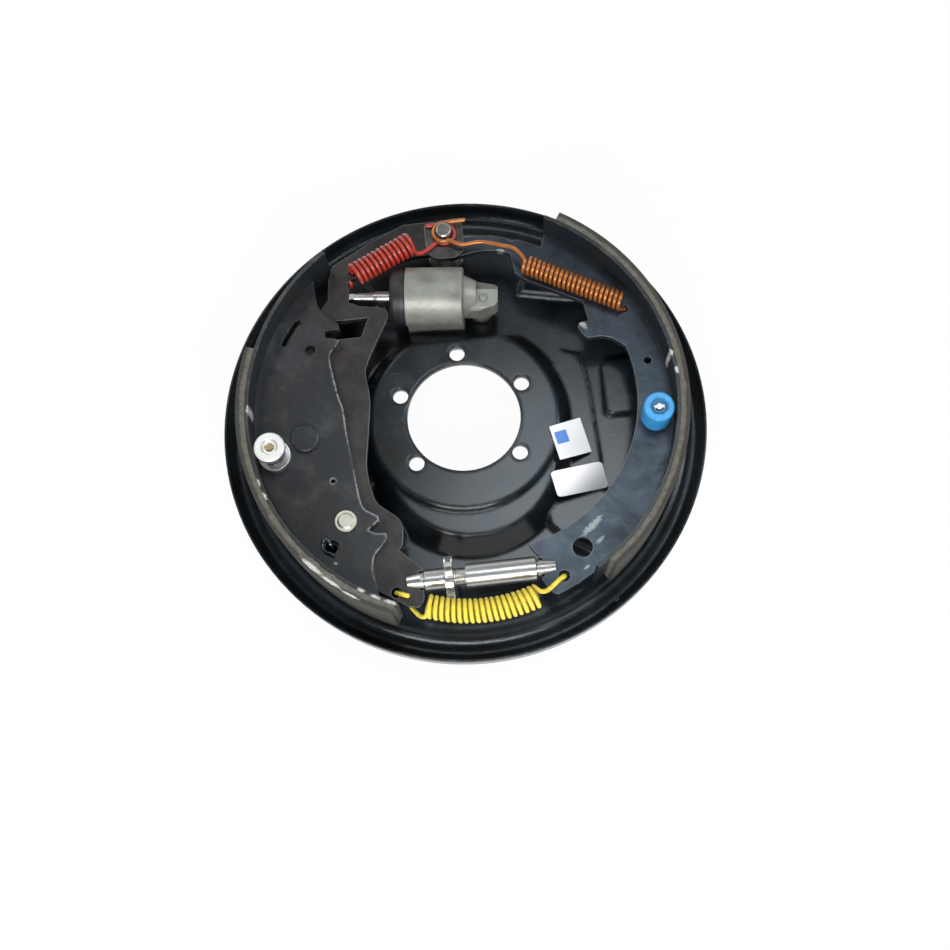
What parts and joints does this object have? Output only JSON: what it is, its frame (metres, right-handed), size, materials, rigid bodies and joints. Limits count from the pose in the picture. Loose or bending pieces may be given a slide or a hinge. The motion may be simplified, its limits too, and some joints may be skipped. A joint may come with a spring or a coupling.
{
  "type": "drum brake assembly",
  "caption": "Hydraulic trailer drum brake: pressed backing plate with anchor post, wheel cylinder, lined shoes with a free-backing lever, star wheel adjuster and coil springs.",
  "frame": {"origin": "centre of the pilot hole, at the rear mounting face of the raised centre", "axes": "+Z is the wheel axis towards the drum, +Y points to the anchor post, +X to the secondary shoe"},
  "size_m": [0.3376, 0.3376, 0.0805],
  "materials": {
    "plate_paint": "black dip paint, semi-gloss",
    "shoe_paint": "dark grey dip paint with rough patches",
    "bare_steel": "machined steel",
    "blued_steel": "dark oiled steel",
    "web_steel": "dark blue-grey phosphated steel",
    "cast_grey": "cast iron, clear coated",
    "lining": "grey-brown friction material",
    "zinc": "bright zinc plate",
    "chrome_cup": "bright plated",
    "blue_cup": "blue paint",
    "red_spring": "faded red paint",
    "copper_spring": "copper coloured coating",
    "yellow_spring": "yellow zinc chromate",
    "spring_steel": "oiled spring steel",
    "rubber": "moulded rubber",
    "aluminium": "anodised piston",
    "brass": "yellow zinc plate",
    "clip_steel": "blued spring wire"
  },
  "bodies": {
    "backing": {"backing_plate": "plate_paint", "anchor_post": "bare_steel", "guide_plate": "bare_steel", "cylinder_body": "cast_grey", "cylinder_bolts": "zinc", "cylinder_boot": "rubber", "piston_spring": "spring_steel", "primary_return_spring": "red_spring", "secondary_return_spring": "copper_spring", "adjuster_spring": "yellow_spring", "adjuster_socket": "zinc", "thrust_washer": "zinc", "primary_hold_pin": "brass", "primary_hold_seat": "chrome_cup", "primary_hold_spring": "spring_steel", "primary_hold_cup": "chrome_cup", "secondary_hold_pin": "zinc", "secondary_hold_seat": "blue_cup", "secondary_hold_spring": "spring_steel", "secondary_hold_cup": "blue_cup", "adjusting_slot_plug": "rubber"},
    "lever": {"free_backing_lever": "blued_steel", "pivot_pin": "plate_paint", "stop_rivet": "zinc", "pivot_clip": "clip_steel"},
    "primary_shoe": {"primary_web": "shoe_paint", "primary_table": "shoe_paint", "primary_lining": "lining"},
    "secondary_shoe": {"secondary_web": "web_steel", "secondary_table": "shoe_paint", "secondary_lining": "lining"},
    "piston": {"piston": "aluminium", "piston_seal": "rubber", "push_rod": "zinc"},
    "star": {"star_screw": "zinc"},
    "sleeve": {"adjuster_sleeve": "zinc"},
    "bleeder": {"bleeder_screw": "brass", "bleeder_cap": "rubber"}
  },
  "joints": [
    {"name": "lever_swing", "type": "hinge", "parent": "backing", "child": "lever", "pos_m": [-0.049, -0.115, 0.0178], "axis": [0, 0, 1], "range_deg": [0, 1], "stiffness_Nm_per_rad": 40, "deforming": ["primary_return_spring"]},
    {"name": "primary_shoe_pivot", "type": "hinge", "parent": "lever", "child": "primary_shoe", "pos_m": [-0.1081, -0.011, 0.0229], "axis": [0, 0, 1], "range_deg": [-0.8, 0.8]},
    {"name": "piston_stroke", "type": "slide", "parent": "backing", "child": "piston", "axis": [-0.9939, 0.1106, 0], "range_m": [0, 0.004], "deforming": ["piston_spring"]},
    {"name": "star_turn", "type": "hinge", "parent": "backing", "child": "star", "pos_m": [-0.0236, -0.115, 0.0178], "axis": [1, 0, 0], "range_deg": [0, 724]},
    {"name": "sleeve_extend", "type": "slide", "parent": "backing", "child": "sleeve", "axis": [1, 0, 0], "range_m": [0, 0.003]},
    {"name": "secondary_shoe_swing", "type": "hinge", "parent": "backing", "child": "secondary_shoe", "pos_m": [0, 0.13, 0.0178], "axis": [0, 0, 1], "range_deg": [0, 0.72], "deforming": ["secondary_return_spring", "adjuster_spring"]},
    {"name": "bleeder_turn", "type": "hinge", "parent": "backing", "child": "bleeder", "pos_m": [0.0208, 0.08226, -0.021], "axis": [0, 0, -1], "range_deg": [0, 180]}
  ],
  "couplings": [
    {"joint": "piston_stroke", "follows": "lever_swing", "m_per_rad": 0.2087},
    {"joint": "star_turn", "follows": "sleeve_extend", "rad_per_m": 4188.8},
    {"joint": "secondary_shoe_swing", "follows": "sleeve_extend", "rad_per_m": 4.0833}
  ]
}
